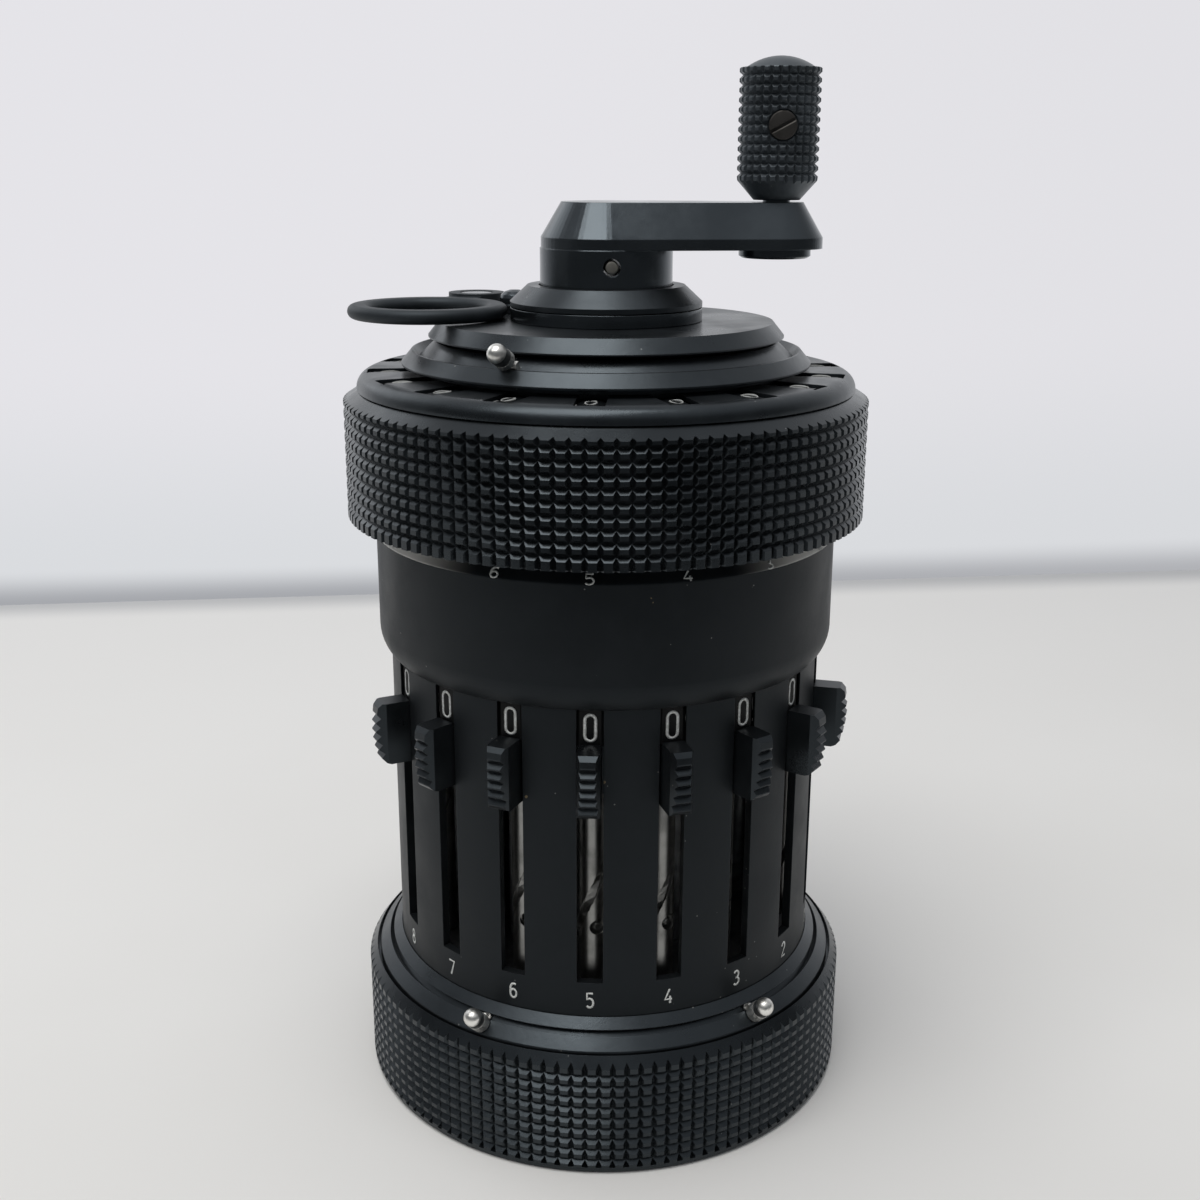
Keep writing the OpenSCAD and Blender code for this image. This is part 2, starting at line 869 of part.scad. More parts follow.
// rounded cross section of the finger ring
module ring_section() {
  w = finger_ring_w / 2;
  corner = 0.68;
  translate([finger_ring_r - w + corner, ring_bottom])
    square([2 * (w - corner), ring_top - ring_bottom]);
  translate([finger_ring_r - w, ring_bottom + corner])
    square([2 * w, ring_top - ring_bottom - 2 * corner]);
  for (x = [-w + corner, w - corner])
    for (z = [ring_bottom + corner, ring_top - corner])
      translate([finger_ring_r + x, z])
        circle(r = corner, $fn = 48);
}

module reversing_lever() {
  color(satin_black)
    at_azimuth(180) {
      arc_block(20.85, 21.85, lever_z - 1.2, lever_z + 1.2, 7);
      translate([-1.4, -24.6, lever_z - 1.2])
        cube([2.8, 3, 2.4]);
      side_plate(5)
        polygon(concat(
          [[24.1, lever_z - 1.7], [25.4, lever_z - 1.7]],
          [for (i = [0:3])
            for (s = [-1, 1])
              [26, lever_z - 1.2 + (i + 0.15 * s) * 0.8]
          ],
          [[25.4, lever_z + 1.7], [24.1, lever_z + 1.7]]
        ));
    }
}

base_plate();
base_ring();
marker_track();
body_tube();
collar();
lower_bearing();
upper_bearing();
transmission_shafts();
lower_marker(left_marker_azimuth);  // lower_marker_left
lower_marker(right_marker_azimuth);  // lower_marker_right
reversing_lever();
slider(1);  // slider_1
slider(2);  // slider_2
slider(3);  // slider_3
slider(4);  // slider_4
slider(5);  // slider_5
slider(6);  // slider_6
slider(7);  // slider_7
slider(8);  // slider_8
setting_shaft(1);  // setting_shaft_1
setting_shaft(2);  // setting_shaft_2
setting_shaft(3);  // setting_shaft_3
setting_shaft(4);  // setting_shaft_4
setting_shaft(5);  // setting_shaft_5
setting_shaft(6);  // setting_shaft_6
setting_shaft(7);  // setting_shaft_7
setting_shaft(8);  // setting_shaft_8
lift_bush();
main_shaft();
step_drum();
crank_arm();
handle_spindle();
handle_grip();
carriage_sleeve();
carriage_frame();
carriage_ring();
window_plate();
marker_groove_ring();
crank_boss();
upper_marker();
dial(result_azimuth(1));  // result_dial_1
dial(result_azimuth(2));  // result_dial_2
dial(result_azimuth(3));  // result_dial_3
dial(result_azimuth(4));  // result_dial_4
dial(result_azimuth(5));  // result_dial_5
dial(result_azimuth(6));  // result_dial_6
dial(result_azimuth(7));  // result_dial_7
dial(result_azimuth(8));  // result_dial_8
dial(result_azimuth(9));  // result_dial_9
dial(result_azimuth(10));  // result_dial_10
dial(result_azimuth(11));  // result_dial_11
dial(counter_azimuth(1));  // counter_dial_1
dial(counter_azimuth(2));  // counter_dial_2
dial(counter_azimuth(3));  // counter_dial_3
dial(counter_azimuth(4));  // counter_dial_4
dial(counter_azimuth(5));  // counter_dial_5
dial(counter_azimuth(6));  // counter_dial_6
clearing_disc();
clearing_lever();
finger_ring();
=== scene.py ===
import math

import bpy
from mathutils import Matrix, Vector


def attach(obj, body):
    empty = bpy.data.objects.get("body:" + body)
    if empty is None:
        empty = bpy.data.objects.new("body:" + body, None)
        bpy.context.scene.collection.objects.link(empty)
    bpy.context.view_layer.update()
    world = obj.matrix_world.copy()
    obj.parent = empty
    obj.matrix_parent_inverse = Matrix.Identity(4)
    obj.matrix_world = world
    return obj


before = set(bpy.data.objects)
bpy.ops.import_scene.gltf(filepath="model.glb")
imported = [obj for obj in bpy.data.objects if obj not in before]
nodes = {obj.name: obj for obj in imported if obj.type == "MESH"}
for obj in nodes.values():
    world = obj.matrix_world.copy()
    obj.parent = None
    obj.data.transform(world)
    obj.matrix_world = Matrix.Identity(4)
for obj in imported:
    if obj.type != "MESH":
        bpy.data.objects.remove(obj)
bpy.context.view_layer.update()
mm = 0.001
# degrees between neighbours: slots and windows, figures on a drum, numbers on the collar
slotStep = 20
figureStep = 36
collarStep = 22
# how far a figure stands off its surface, in mm
figureLift = 0.005
print("frame loaded:", len(nodes), "nodes")


# helpers for meshes
def deselectAll():
    if bpy.context.object and bpy.context.object.mode != "OBJECT":
        bpy.ops.object.mode_set(mode="OBJECT")
    bpy.ops.object.select_all(action="DESELECT")


def focus(piece):
    deselectAll()
    piece.select_set(True)
    bpy.context.view_layer.objects.active = piece


def settle(piece, place=None):
    # the place goes into the mesh, so the object stays at the origin
    piece.data.transform((place or Matrix()) @ piece.matrix_world)
    piece.matrix_world = Matrix()
    return piece


def copyTo(piece, name, place):
    twin = piece.copy()
    twin.data = piece.data.copy()
    twin.name = twin.data.name = name
    bpy.context.collection.objects.link(twin)
    return settle(twin, place)


def joinPieces(pieces, name):
    deselectAll()
    for piece in pieces:
        piece.select_set(True)
    bpy.context.view_layer.objects.active = pieces[0]
    if len(pieces) > 1:
        bpy.ops.object.join()
    joined = bpy.context.object
    joined.name = joined.data.name = name
    return joined


def applyModifier(piece, kind, **settings):
    focus(piece)
    modifier = piece.modifiers.new(kind, kind)
    for key, value in settings.items():
        setattr(modifier, key, value)
    bpy.ops.object.modifier_apply(modifier=modifier.name)


def atAzimuth(degrees):
    # turns what is made on the -Y side to an azimuth, as the part's source does
    return Matrix.Rotation(math.radians(degrees), 4, "Z")


def moved(x, y, z):
    return Matrix.Translation((x * mm, y * mm, z * mm))


def turned(degrees, axis):
    return Matrix.Rotation(math.radians(degrees), 4, axis)


# shader maths
class Wire:
    # one output of a shader node, which adds and multiplies like a number
    def __init__(self, finish, socket):
        self.finish = finish
        self.socket = socket

    def maths(self, operation, first, second):
        return self.finish.node("ShaderNodeMath", {"operation": operation}, {0: first, 1: second})

    def __add__(self, other):
        return self.maths("ADD", self, other)

    def __sub__(self, other):
        return self.maths("SUBTRACT", self, other)

    def __rsub__(self, other):
        return self.maths("SUBTRACT", other, self)

    def __mul__(self, other):
        return self.maths("MULTIPLY", self, other)

    def __gt__(self, other):
        return self.maths("GREATER_THAN", self, other)

    def __lt__(self, other):
        return self.maths("LESS_THAN", self, other)

    __radd__ = __add__
    __rmul__ = __mul__


class Finish:
    # a material, or the world, with its node tree
    def __init__(self, owner):
        self.owner = owner
        owner.use_nodes = True
        self.tree = owner.node_tree

    def node(self, kind, settings=None, sockets=None, output=0):
        new = self.tree.nodes.new(kind)
        for key, value in (settings or {}).items():
            setattr(new, key, value)
        for key, value in (sockets or {}).items():
            self.feed(new.inputs[key], value)
        return Wire(self, new.outputs[output]) if len(new.outputs) else None

    def feed(self, socket, value):
        if isinstance(value, Wire):
            self.tree.links.new(value.socket, socket)
        else:
            socket.default_value = value

    def places(self, squeeze=(1, 1, 1)):
        # the point on the object in millimetres, squeezed along its axes
        point = self.node("ShaderNodeTexCoord", output="Object")
        scale = tuple(1000 * s for s in squeeze)
        return self.node("ShaderNodeMapping", None, {"Vector": point, "Scale": scale})

    def noise(self, point, size, detail=3, roughness=0.55):
        return self.node("ShaderNodeTexNoise", None,
                         {"Vector": point, "Scale": 1 / size, "Detail": detail, "Roughness": roughness})

    def between(self, value, low, high, first=0.0, last=1.0):
        # a smooth step from first to last as value goes from low to high
        return self.node("ShaderNodeMapRange", {"interpolation_type": "SMOOTHSTEP"},
                         {0: value, 1: low, 2: high, 3: first, 4: last})

    def blend(self, factor, first, second):
        return self.node("ShaderNodeMix", {"data_type": "RGBA"}, {0: factor, 6: first, 7: second}, output=2)

    def edges(self, radius):
        # the rounded normal near sharp edges, and a mask of those edges
        rounded = self.node("ShaderNodeBevel", {"samples": 4}, {"Radius": radius * mm})
        flat = self.node("ShaderNodeNewGeometry", output="Normal")
        likeness = self.node("ShaderNodeVectorMath", {"operation": "DOT_PRODUCT"},
                             {0: rounded, 1: flat}, output="Value")
        return rounded, self.between(1 - likeness, 0.01, 0.16)


def newFinish(name, **constants):
    finish = Finish(bpy.data.materials.new(name))
    finish.shader = finish.tree.nodes["Principled BSDF"]
    for key, value in constants.items():
        finish.shader.inputs[socketNames[key]].default_value = value
    return finish


socketNames = {"metallic": "Metallic", "specular": "Specular IOR Level", "tint": "Specular Tint"}


def shine(finish, colour, roughness, height, depth, normal=None):
    # feeds the shader: colour, roughness, and a bump of so many millimetres
    finish.feed(finish.shader.inputs["Base Color"], colour)
    finish.feed(finish.shader.inputs["Roughness"], roughness)
    sockets = {"Height": height, "Distance": depth * mm, "Strength": 1.0}
    if normal is not None:
        sockets["Normal"] = normal
    finish.feed(finish.shader.inputs["Normal"], finish.node("ShaderNodeBump", None, sockets))


# camera
cameraPlan = {"place": (-17.46, -150.89, 97.84), "yaw": 6.399, "pitch": 16.674, "roll": 0.175, "lens": 44.172}


def makeCamera(plan):
    yaw, pitch, roll = (math.radians(plan[key]) for key in ("yaw", "pitch", "roll"))
    ahead = Vector((math.sin(yaw) * math.cos(pitch), math.cos(yaw) * math.cos(pitch), -math.sin(pitch)))
    right = Vector((math.cos(yaw), -math.sin(yaw), 0))
    up = right.cross(ahead)
    across = right * math.cos(roll) + up * math.sin(roll)
    upright = up * math.cos(roll) - right * math.sin(roll)
    data = bpy.data.cameras.new("camera")
    data.lens = plan["lens"]
    data.sensor_width = 36
    data.clip_start = 0.005
    data.clip_end = 20
    camera = bpy.data.objects.new("camera", data)
    bpy.context.collection.objects.link(camera)
    turn = Matrix((across, upright, -ahead)).transposed().to_4x4()
    camera.matrix_world = moved(*plan["place"]) @ turn
    bpy.context.scene.camera = camera


makeCamera(cameraPlan)
print("camera placed")


# black paints and blackened metal
paintPlans = {
    "tubePaint": {"tone": 0.0058, "rough": 0.44, "specular": 0.26, "edge": 0.10, "wear": 0.5, "dust": 0.6},
    # the collar's last entry gives the heights of its painted sheen
    "collarPaint": {"tone": 0.0058, "rough": 0.44, "specular": 0.26, "edge": 0.3, "wear": 0.3,
                    "dust": 0.6, "sheenHeights": (60.9, 62.55)},
    "ringPaint": {"tone": 0.0044, "rough": 0.22, "specular": 0.55, "edge": 0.02, "wear": 0.5},
    "topPaint": {"tone": 0.0074, "rough": 0.29, "specular": 0.64, "edge": 0.08, "wear": 0.5, "dust": 0.9,
                 "bump": 0.010},
    "armPaint": {"tone": 0.0110, "rough": 0.13, "specular": 0.85, "edge": 0.14, "wear": 0.3},
    "gripPaint": {"tone": 0.0360, "rough": 0.34, "specular": 0.80, "edge": 0.025, "wear": 0.5},
    "ringMatte": {"tone": 0.0190, "rough": 0.50, "specular": 0.42, "edge": 0.20, "wear": 0.5},
    "sliderPaint": {"tone": 0.0062, "rough": 0.29, "specular": 0.46, "edge": 0.03, "wear": 0.7},
    "dialPaint": {"tone": 0.0040, "rough": 0.34, "specular": 0.30, "edge": 0.05, "wear": 0.2},
    "innerPaint": {"tone": 0.0045, "rough": 0.50, "specular": 0.25, "edge": 0.08, "wear": 0.3},
}
# heights in mm: the setting drums are black above the first, the rollers' figures, which get a painted shade,
# are above the second
blackDrumHeight = 44.6
rollerHeight = 70
# the paint's gleam is a little blue
paintGleam = (0.77, 0.90, 1.0, 1)
chips = {
    # small knocks through the paint: azimuth, distance from the main shaft, height, size
    "tubePaint": [(-6.8, 22.85, 41.1, 0.26), (-25.8, 22.85, 39.0, 0.2)],
    "collarPaint": [(3.5, 24.0, 59.6, 0.12), (3.9, 24.0, 59.2, 0.1)],
    "ringPaint": [(-6.7, 26.7, 71.4, 0.2), (-62.8, 26.7, 70.3, 0.2), (24, 26.5, 66.2, 0.12)],
}


def makePaint(name, plan):
    finish = newFinish(name, specular=plan["specular"], tint=paintGleam)
    point = finish.places()
    cloud = finish.noise(point, 6.0, detail=4)
    grain = finish.noise(point, 0.18, detail=3, roughness=0.6)
    peel = finish.noise(point, 0.75, detail=2)
    rounded, edge = finish.edges(plan["edge"])
    tone = plan["tone"]
    dark = (tone * 0.72, tone * 0.82, tone * 0.92, 1)
    light = (tone * 1.25, tone * 1.42, tone * 1.6, 1)
    colour = finish.blend(finish.between(cloud, 0.35, 0.65), dark, light)
    patchy = finish.noise(point, 0.9, detail=4, roughness=0.7)
    rubbed = edge * finish.between(patchy, 0.42, 0.62) * plan["wear"]
    colour = finish.blend(rubbed, colour, (0.060, 0.063, 0.066, 1))
    # sparse grains of dust
    specks = finish.node("ShaderNodeTexVoronoi", None, {"Vector": point, "Scale": 0.62}, output="Distance")
    lint = finish.between(specks, 0.035, 0.055, 1.0, 0.0) * (finish.noise(point, 9.0, detail=1) > 0.5)
    colour = finish.blend(lint * plan.get("dust", 0.5), colour, (0.24, 0.24, 0.23, 1))
    if "sheenHeights" in plan:
        # painted sheen: between these heights the collar is given a light colour where it is seen at a low
        # angle, standing in for a reflection
        level = finish.node("ShaderNodeSeparateXYZ", None, {0: point}, output="Z")
        high = (level > plan["sheenHeights"][0]) * (level < plan["sheenHeights"][1])
        facing = finish.node("ShaderNodeLayerWeight", None, {"Blend": 0.5}, output="Facing")
        colour = finish.blend(high * finish.between(facing, 0.20, 0.50), colour, (0.90, 0.88, 0.83, 1))
    for azimuth, reach, height, radius in chips.get(name, []):
        place = atAzimuth(azimuth) @ Vector((0, -reach, height))
        far = finish.node("ShaderNodeVectorMath", {"operation": "DISTANCE"},
                          {0: point, 1: tuple(place)}, output="Value")
        hole = (far + finish.noise(point, 0.2) * 0.3) < radius + 0.1
        colour = finish.blend(hole, colour, (0.16, 0.12, 0.065, 1))
    roughness = plan["rough"] + finish.between(cloud, 0.3, 0.7, -0.05, 0.06) + grain * 0.06 - rubbed * 0.08
    shine(finish, colour, roughness, grain * 0.5 + peel, plan.get("bump", 0.006), rounded)
    return finish


# bright metals
metalPlans = {
    "steelBright": {"colour": (0.56, 0.56, 0.55), "rough": 0.16, "squeeze": (1, 1, 0.03), "grain": 0.05},
    "steelGrey": {"colour": (0.30, 0.31, 0.32), "rough": 0.38, "squeeze": (1, 1, 1), "grain": 0.12},
    "silverCap": {"colour": (0.84, 0.83, 0.79), "rough": 0.27, "squeeze": (1, 1, 1), "grain": 0.15},
    "shaftSteel": {"colour": (0.26, 0.26, 0.252), "rough": 0.30, "squeeze": (1, 1, 0.03), "grain": 0.05},
    "pinDull": {"colour": (0.36, 0.345, 0.31), "rough": 0.44, "squeeze": (1, 1, 1), "grain": 0.10},
    "screwDull": {"colour": (0.075, 0.071, 0.067), "rough": 0.48, "squeeze": (1, 1, 1), "grain": 0.10},
    "brassPlain": {"colour": (0.62, 0.47, 0.22), "rough": 0.32, "squeeze": (1, 1, 0.1), "grain": 0.12},
}


# a marker's pin: its start as distance from the main shaft and height, its lean, and its dull band
markerPlans = {
    "lowerSilver": {"from": (24.08, 14.59), "lean": 45, "band": (1.37, 2.09)},
    "upperSilver": {"from": (19.2, 79.98), "lean": 61.7, "band": (1.18, 2.15)},
}


def makeMetal(name, plan, blackAbove=None, marker=None):
    finish = newFinish(name, metallic=1.0, specular=0.2)
    point = finish.places()
    streaks = finish.noise(finish.places(plan["squeeze"]), plan["grain"], detail=3)
    cloud = finish.noise(point, 2.4, detail=4)
    rounded, edge = finish.edges(0.08)
    base = plan["colour"]
    dull = tuple(c * 0.72 for c in base) + (1,)
    bright = tuple(min(1.0, c * 1.08) for c in base) + (1,)
    colour = finish.blend(finish.between(cloud, 0.3, 0.62), dull, bright)
    colour = finish.blend(edge * 0.4, colour, tuple(min(1.0, c * 1.2) for c in base) + (1,))
    roughness = plan["rough"] + finish.between(cloud, 0.3, 0.7, 0.07, -0.03) + streaks * 0.08
    if blackAbove is not None:
        # the drum's top part is painted black
        high = finish.node("ShaderNodeSeparateXYZ", None, {0: point}, output="Z") > blackAbove
        colour = finish.blend(high, colour, (0.0035, 0.0039, 0.0043, 1))
        roughness = roughness + high * 0.22
        finish.feed(finish.shader.inputs["Metallic"], 1 - high)
    if marker is not None:
        # a marker's pin has a worn shank, a dull band and a polished end
        flat = finish.node("ShaderNodeVectorMath", {"operation": "MULTIPLY"}, {0: point, 1: (1, 1, 0)})
        reach = finish.node("ShaderNodeVectorMath", {"operation": "LENGTH"}, {0: flat}, output="Value")
        level = finish.node("ShaderNodeSeparateXYZ", None, {0: point}, output="Z")
        lean = math.radians(marker["lean"])
        along = (reach - marker["from"][0]) * math.sin(lean) + (level - marker["from"][1]) * math.cos(lean)
        band = (along > marker["band"][0]) * (along < marker["band"][1])
        shank = (along < marker["band"][0])
        colour = finish.blend(band, colour, (0.17, 0.172, 0.17, 1))
        scuffs = finish.between(finish.noise(point, 0.25, detail=4, roughness=0.7), 0.4, 0.6)
        colour = finish.blend(shank * scuffs * 0.6, colour, (0.62, 0.62, 0.60, 1))
        roughness = roughness + band * 0.1 + shank * scuffs * 0.25
    shine(finish, colour, roughness, streaks, 0.002, rounded)
    return finish


def makeNumeralPaint():
    finish = newFinish("numeralPaint", specular=0.3)
    point = finish.places()
    worn = finish.between(finish.noise(point, 0.35, detail=4), 0.36, 0.6)
    colour = finish.blend(worn, (0.58, 0.59, 0.57, 1), (0.80, 0.82, 0.80, 1))
    # the figures on the rollers get a painted shade: greyer, as they lie down in the windows
    high = finish.node("ShaderNodeSeparateXYZ", None, {0: point}, output="Z") > rollerHeight
    colour = finish.blend(high * 0.62, colour, (0.16, 0.165, 0.165, 1))
    grain = finish.noise(point, 0.1)
    shine(finish, colour, 0.5 + grain * 0.15, grain, 0.004)
    return finish


finishes = {name: makePaint(name, plan) for name, plan in paintPlans.items()}
finishes.update({name: makeMetal(name, plan) for name, plan in metalPlans.items()})
finishes["settingMetal"] = makeMetal("settingMetal", metalPlans["shaftSteel"], blackAbove=blackDrumHeight)
for key, plan in markerPlans.items():
    finishes[key] = makeMetal(key, metalPlans["silverCap"], marker=plan)
finishes["numeralPaint"] = makeNumeralPaint()
print("finishes made:", len(finishes))


def dress(finishName, *names):
    for name in names:
        for slot in nodes[name].material_slots:
            slot.material = finishes[finishName].owner


dress("tubePaint", "body_tube")
dress("collarPaint", "collar")
dress("ringPaint", "base_ring", "carriage_ring")
dress("topPaint", "marker_track", "window_plate", "marker_groove_ring", "crank_boss", "clearing_disc",
      "reversing_lever")
dress("armPaint", "crank_arm", "clearing_lever", "handle_spindle")
dress("gripPaint", "handle_grip")
dress("ringMatte", "finger_ring")
dress("innerPaint", "base_plate", "carriage_frame")
dress("sliderPaint", *["slider_%d" % k for k in range(1, 9)])
dress("settingMetal", *["setting_shaft_%d" % k for k in range(1, 9)])
dress("dialPaint", *["result_dial_%d" % i for i in range(1, 12)],
      *["counter_dial_%d" % i for i in range(1, 7)])
dress("lowerSilver", "lower_marker_left", "lower_marker_right")
dress("upperSilver", "upper_marker")
dress("steelGrey", "lower_bearing", "upper_bearing", "transmission_shafts", "step_drum")
dress("steelBright", "main_shaft")
dress("brassPlain", "lift_bush", "carriage_sleeve")


# figures, drawn as strokes of one width
def arc(x, y, across, high, start, stop, steps):
    # points of a bow round (x, y); angles in degrees, anticlockwise from the right
    angles = [math.radians(start + (stop - start) * i / steps) for i in range(steps + 1)]
    return [(x + across * math.cos(a), y + high * math.sin(a)) for a in angles]


# the setting drums' 0 has straight sides
straightZero = [arc(0.5, 0.8, 0.5, 0.2, 0, 180, 8) + arc(0.5, 0.2, 0.5, 0.2, 180, 360, 8)]
strokes = {
    0: [arc(0.5, 0.5, 0.5, 0.5, 90, 450, 16)[:-1]],
    1: [[(0.22, 0.78), (0.55, 1.0), (0.55, 0.0)]],
    2: [arc(0.5, 0.72, 0.46, 0.28, 165, -20, 8) + [(0.02, 0.0), (1.0, 0.0)]],
    3: [arc(0.46, 0.75, 0.42, 0.25, 150, -90, 8) + arc(0.46, 0.26, 0.5, 0.26, 90, -145, 8)],
    4: [[(0.66, 1.0), (0.0, 0.28), (1.0, 0.28)], [(0.74, 0.5), (0.74, 0.0)]],
    5: [[(0.92, 1.0), (0.14, 1.0), (0.1, 0.58)] + arc(0.48, 0.32, 0.5, 0.32, 118, -140, 9)],
    6: [arc(0.62, 0.62, 0.56, 0.38, 62, 180, 6) + arc(0.5, 0.3, 0.46, 0.3, 180, 540, 12)],
    7: [[(0.0, 1.0), (1.0, 1.0), (0.36, 0.0)]],
    8: [arc(0.5, 0.76, 0.4, 0.24, -90, 270, 10)[:-1], arc(0.5, 0.27, 0.5, 0.27, 90, 450, 12)[:-1]],
    9: [arc(0.38, 0.38, 0.56, 0.38, -118, 0, 6) + arc(0.5, 0.7, 0.46, 0.3, 0, 360, 12)],
}


def drawFigure(number, size):
    # a figure in the XY plane, its middle at the origin, with a flattened bead for each stroke
    curve = bpy.data.curves.new("figure", "CURVE")
    curve.dimensions = "3D"
    curve.bevel_depth = size["stroke"] / 2 * mm
    curve.bevel_resolution = 0
    curve.use_fill_caps = True
    wide, high = size["wide"] - size["stroke"], size["high"] - size["stroke"]
    closed = number in (0, 8)
    for points in straightZero if number == 0 and size.get("straight") else strokes[number]:
        line = curve.splines.new("POLY")
        line.points.add(len(points) - 1)
        for spot, (x, y) in zip(line.points, points):
            spot.co = ((x - 0.5) * wide * mm, (y - 0.5) * high * mm, 0, 1)
        line.use_cyclic_u = closed
    figure = bpy.data.objects.new("figure", curve)
    bpy.context.collection.objects.link(figure)
    focus(figure)
    bpy.ops.object.convert(target="MESH")
    figure = bpy.context.object
    settle(figure, Matrix.Diagonal((1, 1, size["thick"] / size["stroke"], 1)))
    figure.data.materials.clear()
    figure.data.materials.append(finishes["numeralPaint"].owner)
    return figure


def figureSet(size, wrapRadius=None):
    made = [drawFigure(n, size) for n in range(10)]
    if wrapRadius:
        for figure in made:
            reach = [v.co.x for v in figure.data.vertices]
            width = max(reach) - min(reach)
            applyModifier(figure, "SIMPLE_DEFORM", deform_method="BEND", deform_axis="Y",
                          angle=-width / (wrapRadius * mm))
    return made


def removePieces(pieces):
    for piece in pieces:
        bpy.data.objects.remove(piece)


def addNumerals(name, body, pieces):
    numerals = joinPieces(pieces, name)
    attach(numerals, body)


# figures on the eight setting drums: 0 faces out at rest
drumPlan = {"wide": 1.34, "high": 2.97, "stroke": 0.31, "thick": 0.05, "straight": True,
            "flat": 3.13, "circle": 19.45, "middle": 46.49}
drumFigures = figureSet(drumPlan)
upright = turned(90, "X")
onDrum = joinPieces(
    [copyTo(drumFigures[n], "drumFigure",
            atAzimuth(-figureStep * n) @ moved(0, -drumPlan["flat"] - figureLift, 0) @ upright)
     for n in range(10)], "drumMaster")
for k in range(1, 9):
    place = atAzimuth((4.5 - k) * slotStep) @ moved(0, -drumPlan["circle"], drumPlan["middle"])
    addNumerals("settingNumerals_%d" % k, "setting_shaft_%d" % k, [copyTo(onDrum, "numerals", place)])
removePieces(drumFigures + [onDrum])

# slot numbers on the tube
slotPlan = {"wide": 0.98, "high": 1.82, "stroke": 0.24, "thick": 0.05, "radius": 22.86, "middle": 17.5}
slotFigures = figureSet(slotPlan)
addNumerals("slotNumerals", "frame",
            [copyTo(slotFigures[k], "slotFigure",
                    atAzimuth((4.5 - k) * slotStep)
                    @ moved(0, -slotPlan["radius"], slotPlan["middle"]) @ upright)
             for k in range(1, 9)])
removePieces(slotFigures)

# place numbers on the collar's bevel
collarPlan = {"wide": 1.02, "high": 1.22, "stroke": 0.2, "thick": 0.05,
              "radius": 23.70, "middle": 61.40, "lean": 36.0}
collarFigures = figureSet(collarPlan)
addNumerals("collarNumerals", "frame",
            [copyTo(collarFigures[n], "collarFigure",
                    atAzimuth(100 - collarStep * n) @ moved(0, -collarPlan["radius"], collarPlan["middle"])
                    @ turned(90 - collarPlan["lean"], "X"))
             for n in range(1, 7)])
removePieces(collarFigures)

# figures on the rollers under the windows
rollerPlan = {"wide": 1.22, "high": 2.1, "stroke": 0.17, "thick": 0.05,
              "radius": 3.0, "circle": 22.0, "axis": 74.13}
rollerFigures = figureSet(rollerPlan, wrapRadius=rollerPlan["radius"])
onRoller = joinPieces(
    [copyTo(rollerFigures[n], "rollerFigure",
            turned(figureStep * n, "Y") @ moved(0, 0, rollerPlan["radius"] + figureLift))
     for n in range(10)], "rollerMaster")
for i in range(1, 12):
    place = atAzimuth(70 - slotStep * (i - 1)) @ moved(0, -rollerPlan["circle"], rollerPlan["axis"])
    addNumerals("resultNumerals_%d" % i, "result_dial_%d" % i, [copyTo(onRoller, "numerals", place)])
for i in range(1, 7):
    place = atAzimuth(70 + slotStep * i) @ moved(0, -rollerPlan["circle"], rollerPlan["axis"])
    addNumerals("counterNumerals_%d" % i, "counter_dial_%d" % i, [copyTo(onRoller, "numerals", place)])
removePieces(rollerFigures + [onRoller])
print("numerals drawn")


# small fasteners
def roundBar(name, radius, length, chamfer, sides=48):
    # a bar along Z with rounded ends, its middle at the origin
    deselectAll()
    bpy.ops.mesh.primitive_cylinder_add(vertices=sides, radius=radius * mm, depth=length * mm)
    bar = bpy.context.object
    bar.name = bar.data.name = name
    applyModifier(bar, "BEVEL", width=chamfer * mm, segments=3, limit_method="ANGLE")
    bpy.ops.object.shade_smooth_by_angle(angle=math.radians(30))
    return bar


def cutSlot(piece, width, depth, top):
    # a screwdriver slot across the top face, along X
    deselectAll()
    bpy.ops.mesh.primitive_cube_add(size=1)
    cutter = bpy.context.object
    settle(cutter, moved(0, 0, top) @ Matrix.Diagonal((20 * mm, width * mm, depth * 2 * mm, 1)))
    applyModifier(piece, "BOOLEAN", operation="DIFFERENCE", object=cutter, solver="EXACT")
    removePieces([cutter])


def fit(piece, body, finishName):
    piece.data.materials.clear()
    piece.data.materials.append(finishes[finishName].owner)
    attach(piece, body)


pinPlan = {"radius": 0.68, "length": 13.1, "height": 87.77, "azimuth": -1.9}
hubPin = roundBar("hubPin", pinPlan["radius"], pinPlan["length"], 0.22, sides=32)
settle(hubPin, atAzimuth(pinPlan["azimuth"]) @ moved(0, 0, pinPlan["height"]) @ turned(90, "X"))
fit(hubPin, "crank", "pinDull")

screwPlan = {"radius": 1.36, "length": 0.62, "slot": 0.32, "deep": 0.3, "reach": 16.9, "arm": 83.4,
             "face": -7, "from": 3.3, "height": 101, "lean": 28}
gripScrew = roundBar("gripScrew", screwPlan["radius"], screwPlan["length"], 0.1)
cutSlot(gripScrew, screwPlan["slot"], screwPlan["deep"], screwPlan["length"] / 2)
gripAxis = atAzimuth(screwPlan["arm"]) @ Vector((0, -screwPlan["reach"], 0))
settle(gripScrew, moved(gripAxis.x, gripAxis.y, screwPlan["height"]) @ atAzimuth(screwPlan["face"])
       @ moved(0, -screwPlan["from"] - screwPlan["length"] / 2 - 0.01, 0) @ turned(90, "X")
       @ turned(screwPlan["lean"], "Z"))
fit(gripScrew, "handle_grip", "screwDull")

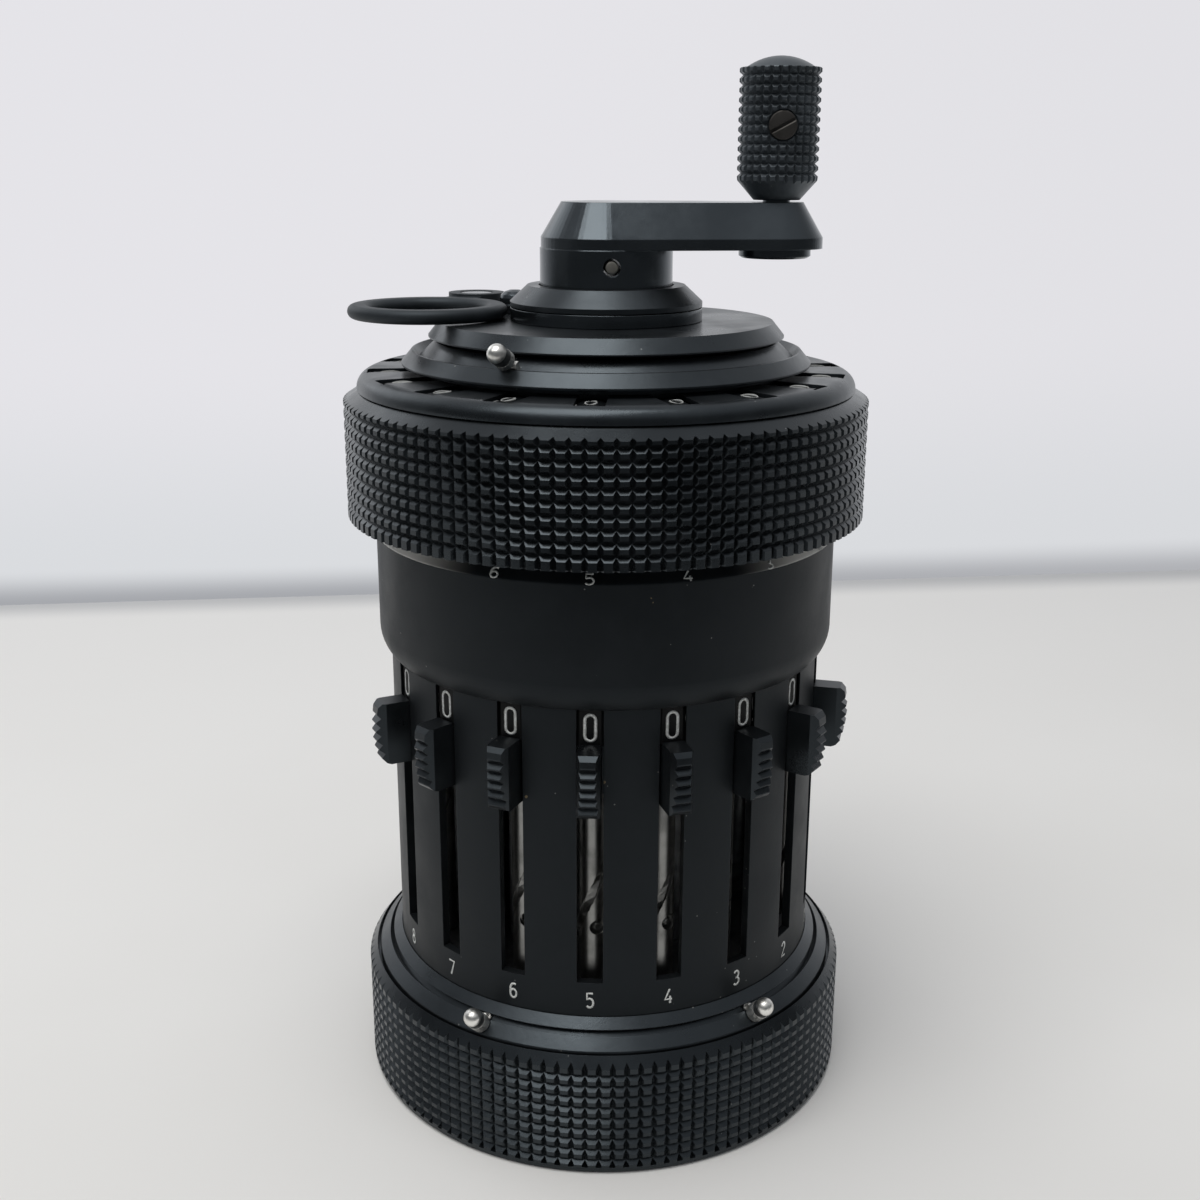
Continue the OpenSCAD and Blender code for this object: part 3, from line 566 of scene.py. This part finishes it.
footPlan = {"shank": 0.85, "head": 1.62, "cone": 0.75, "circle": 19, "slot": 0.4, "deep": 0.4,
            "sunk": 0.06}
deselectAll()
bpy.ops.mesh.primitive_cone_add(vertices=48, radius1=footPlan["head"] * mm, radius2=footPlan["shank"] * mm,
                                depth=footPlan["cone"] * mm,
                                location=(0, 0, (footPlan["sunk"] + footPlan["cone"] / 2) * mm))
footScrew = bpy.context.object
settle(footScrew)
applyModifier(footScrew, "BEVEL", width=0.05 * mm, segments=2, limit_method="ANGLE")
cutSlot(footScrew, footPlan["slot"], footPlan["deep"], footPlan["sunk"])
for i in range(3):
    screw = copyTo(footScrew, "footScrew_%d" % (i + 1),
                   atAzimuth(120 * i) @ moved(0, -footPlan["circle"], 0) @ turned(35 + 50 * i, "Z"))
    fit(screw, "frame", "steelGrey")
removePieces([footScrew])
print("fasteners fitted")


# floor, world and lamps
yawTurn = turned(-cameraPlan["yaw"], "Z")
roomPlan = {"wide": 1600, "front": -170, "back": 184, "turn": 0.28, "drop": 0.03}
deselectAll()
bpy.ops.mesh.primitive_plane_add(size=1)
floor = bpy.context.object
floor.name = "floor"
settle(floor, turned(roomPlan["turn"], "Z")
       @ moved(0, (roomPlan["front"] + roomPlan["back"]) / 2, -roomPlan["drop"])
       @ Matrix.Diagonal((roomPlan["wide"] * mm, (roomPlan["back"] - roomPlan["front"]) * mm, 1, 1)))
floorFinish = newFinish("floorPaper", specular=0.2)
floorPoint = floorFinish.places()
floorCloud = floorFinish.noise(floorPoint, 90, detail=3)
floorColour = floorFinish.blend(floorFinish.between(floorCloud, 0.3, 0.7),
                                (0.80, 0.79, 0.77, 1), (0.825, 0.817, 0.80, 1))
# painted light and shade: the paper is a little brighter far off, and a painted shade darkens its very edge
# where it meets the wall
farOff = floorFinish.node("ShaderNodeSeparateXYZ", None, {0: floorPoint}, output="Y")
floorColour = floorFinish.blend(floorFinish.between(farOff, 20, 150) * 0.6, floorColour,
                                (0.86, 0.85, 0.835, 1))
floorColour = floorFinish.blend(floorFinish.between(farOff, 170, roomPlan["back"]) * 0.6, floorColour,
                                (0.36, 0.37, 0.39, 1))
shine(floorFinish, floorColour, 0.7, floorFinish.noise(floorPoint, 0.8, detail=4), 0.01)
floor.data.materials.append(floorFinish.owner)

world = bpy.data.worlds.new("room")
bpy.context.scene.world = world
room = Finish(world)
room.tree.nodes.clear()
aim = room.node("ShaderNodeTexCoord", output="Generated")
ahead = tuple(yawTurn @ Vector((0, 1, 0)))
facing = room.node("ShaderNodeVectorMath", {"operation": "DOT_PRODUCT"}, {0: aim, 1: ahead}, output="Value")
height = room.node("ShaderNodeSeparateXYZ", None, {0: aim}, output="Z")
behind = room.between(facing, 0.0, 0.85)
lightColour = room.blend(behind, (0.10, 0.105, 0.11, 1), (0.80, 0.81, 0.84, 1))
lightColour = room.blend(room.between(height, 0.3, 0.85), lightColour, (0.50, 0.51, 0.53, 1))
# painted shade: the wall darkens softly down to the floor's back edge, by the sine of the angle above that
# edge
edgeLeft = turned(roomPlan["turn"], "Z") @ Vector((-100, roomPlan["back"], -roomPlan["drop"]))
edgeRight = turned(roomPlan["turn"], "Z") @ Vector((100, roomPlan["back"], -roomPlan["drop"]))
edgeUp = (edgeRight - edgeLeft).cross(edgeLeft - Vector(cameraPlan["place"])).normalized()
above = room.node("ShaderNodeVectorMath", {"operation": "DOT_PRODUCT"}, {0: aim, 1: tuple(edgeUp)},
                  output="Value")
sideways = room.node("ShaderNodeVectorMath", {"operation": "DOT_PRODUCT"},
                     {0: aim, 1: tuple(yawTurn @ Vector((1, 0, 0)))}, output="Value")
wallColour = room.blend(room.between(above, 0.015, 0.16), (0.70, 0.715, 0.74, 1), (0.783, 0.776, 0.81, 1))
# a painted shade: a dark band on the wall just above the floor's back edge
nearEdge = room.between(above, 0.0, 0.022, 1.0, 0.0) * room.between(above, -0.05, -0.01) * (facing > 0.6)
wallColour = room.blend(nearEdge, wallColour, (0.38, 0.39, 0.415, 1))
# painted shade: the wall is a little darker towards the right
wallColour = room.blend(room.between(sideways, -0.1, 0.4) * 0.2, wallColour, (0.66, 0.66, 0.68, 1))
seen = room.node("ShaderNodeLightPath", output="Is Camera Ray")
light = room.node("ShaderNodeBackground", None, {"Color": lightColour, "Strength": 1.0})
wall = room.node("ShaderNodeBackground", None, {"Color": wallColour, "Strength": 1.0})
both = room.node("ShaderNodeMixShader", None, {0: seen, 1: light, 2: wall})
room.node("ShaderNodeOutputWorld", None, {"Surface": both})


def addLamp(name, place, aimAt, size, power, colour):
    data = bpy.data.lights.new(name, "AREA")
    data.shape = "RECTANGLE"
    data.size, data.size_y = size[0] * mm, size[1] * mm
    data.energy = power
    data.color = colour
    lamp = bpy.data.objects.new(name, data)
    bpy.context.collection.objects.link(lamp)
    spot = yawTurn @ (Vector(place) * mm)
    toward = yawTurn @ (Vector(aimAt) * mm) - spot
    lamp.matrix_world = Matrix.Translation(spot) @ toward.to_track_quat("-Z", "Y").to_matrix().to_4x4()


addLamp("ceilingLamp", (-110, -165, 600), (0, 0, 60), (380, 440), 2.1, (1.0, 0.985, 0.96))
addLamp("windowLamp", (-420, 330, 360), (0, 0, 60), (360, 300), 0.25, (0.94, 0.97, 1.0))

bpy.context.scene.view_settings.view_transform = "Standard"
print("floor, world and lamps set")
